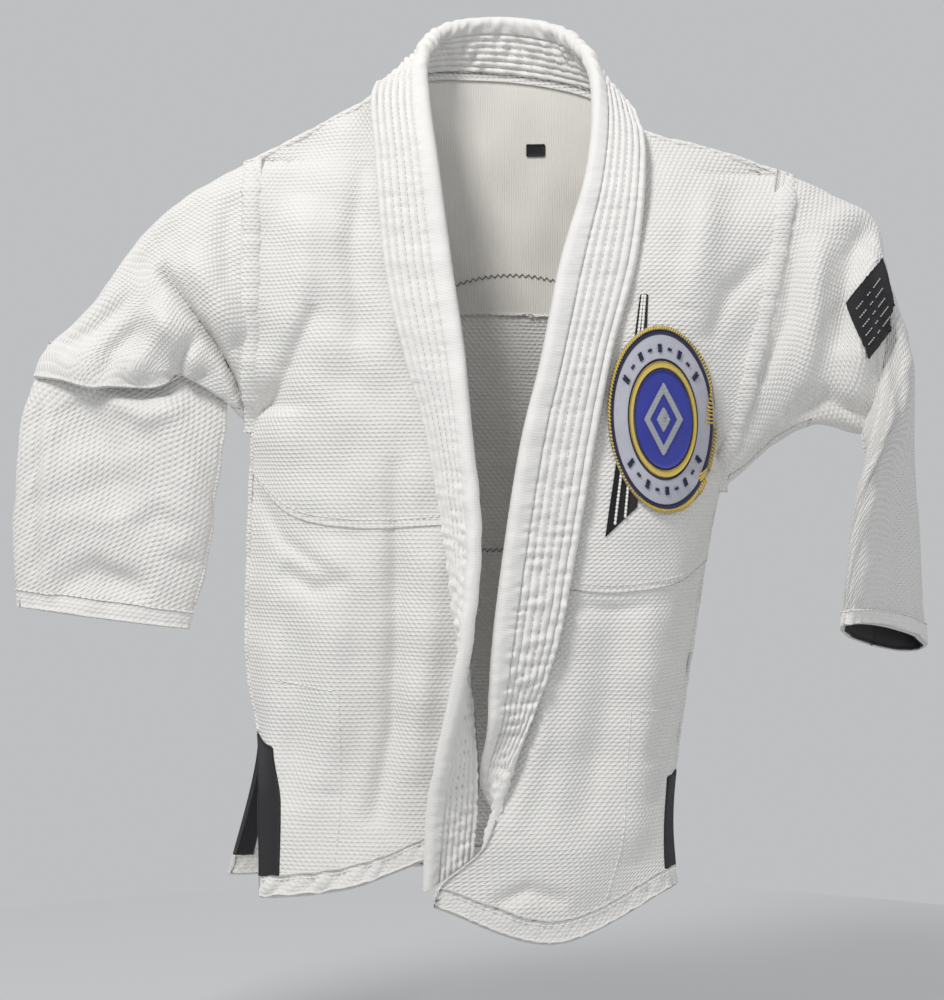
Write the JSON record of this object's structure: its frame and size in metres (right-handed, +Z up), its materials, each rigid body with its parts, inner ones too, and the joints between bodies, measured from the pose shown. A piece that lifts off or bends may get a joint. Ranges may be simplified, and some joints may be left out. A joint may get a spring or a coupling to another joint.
{
  "type": "jiu-jitsu jacket",
  "caption": "Child's white jiu-jitsu jacket hanging open, with a thick quilted collar and lapels, folded sleeves, side vents and a round chest badge.",
  "frame": {"origin": "the middle of the neck opening, at shoulder height, where a hanger carries the jacket", "axes": "+Z up along the hanging jacket, -Y out of its front, +X towards the wearer's left"},
  "size_m": [0.5365, 0.1329, 0.5537],
  "materials": {
    "white_cloth": "matte",
    "lining_cloth": "matte",
    "band_cloth": "matte",
    "band_core": "matte",
    "black_twill": "matte",
    "label_cloth": "matte",
    "badge_gold": "satin",
    "badge_grey": "satin",
    "badge_blue": "satin",
    "badge_silver": "satin"
  },
  "bodies": {
    "coat_body": {"back_panel": "white_cloth", "back_hem": "white_cloth", "right_vent_tape_back": "black_twill", "left_vent_tape_back": "black_twill", "back_yoke": "lining_cloth", "neck_tag": "label_cloth", "right_upper_front": "white_cloth", "left_upper_front": "white_cloth", "right_chest_reinforcement": "white_cloth", "left_chest_reinforcement": "white_cloth", "badge_under_patch": "label_cloth", "badge_base": "badge_grey", "badge_edge": "badge_gold", "badge_ring": "badge_grey", "badge_inner_edge": "badge_gold", "badge_centre": "badge_blue", "badge_motif": "badge_silver", "neck_collar": "band_cloth", "neck_collar_core": "band_core"},
    "right_sleeve": {"right_upper_sleeve": "white_cloth", "right_underarm_gusset": "white_cloth"},
    "left_sleeve": {"left_upper_sleeve": "white_cloth", "left_underarm_gusset": "white_cloth", "sleeve_label": "label_cloth"},
    "right_front": {"right_lower_front": "white_cloth", "right_vent_patch": "white_cloth", "right_front_hem": "white_cloth", "right_vent_tape_front": "black_twill", "right_lapel": "band_cloth", "right_lapel_core": "band_core"},
    "right_forearm": {"right_lower_sleeve": "white_cloth", "right_cuff_hem": "white_cloth", "right_cuff_lining": "black_twill"},
    "left_front": {"left_lower_front": "white_cloth", "left_vent_patch": "white_cloth", "left_front_hem": "white_cloth", "left_vent_tape_front": "black_twill", "left_lapel": "band_cloth", "left_lapel_core": "band_core"},
    "left_forearm": {"left_lower_sleeve": "white_cloth", "left_cuff_hem": "white_cloth", "left_cuff_lining": "black_twill"}
  },
  "joints": [
    {"name": "right_shoulder", "type": "hinge", "parent": "coat_body", "child": "right_sleeve", "pos_m": [-0.152, 0, -0.044], "axis": [0, 1, 0], "range_deg": [0, 45]},
    {"name": "left_shoulder", "type": "hinge", "parent": "coat_body", "child": "left_sleeve", "pos_m": [0.172, 0, -0.057], "axis": [0, -1, 0], "range_deg": [0, 45]},
    {"name": "right_elbow", "type": "hinge", "parent": "right_sleeve", "child": "right_forearm", "pos_m": [-0.225, -0.0185, -0.167], "axis": [-0.9981, 0, 0.0618], "range_deg": [0, 80]},
    {"name": "left_elbow", "type": "hinge", "parent": "left_sleeve", "child": "left_forearm", "pos_m": [0.227, 0, -0.097], "axis": [0, -1, 0], "range_deg": [0, 50]},
    {"name": "right_front_swing", "type": "hinge", "parent": "coat_body", "child": "right_front", "pos_m": [-0.125, -0.0275, -0.24], "axis": [-0.0899, 0, -0.9959], "range_deg": [0, 75]},
    {"name": "left_front_swing", "type": "hinge", "parent": "coat_body", "child": "left_front", "pos_m": [0.097, -0.034, -0.402], "axis": [-0.0179, 0, 0.9998], "range_deg": [0, 75]}
  ]
}
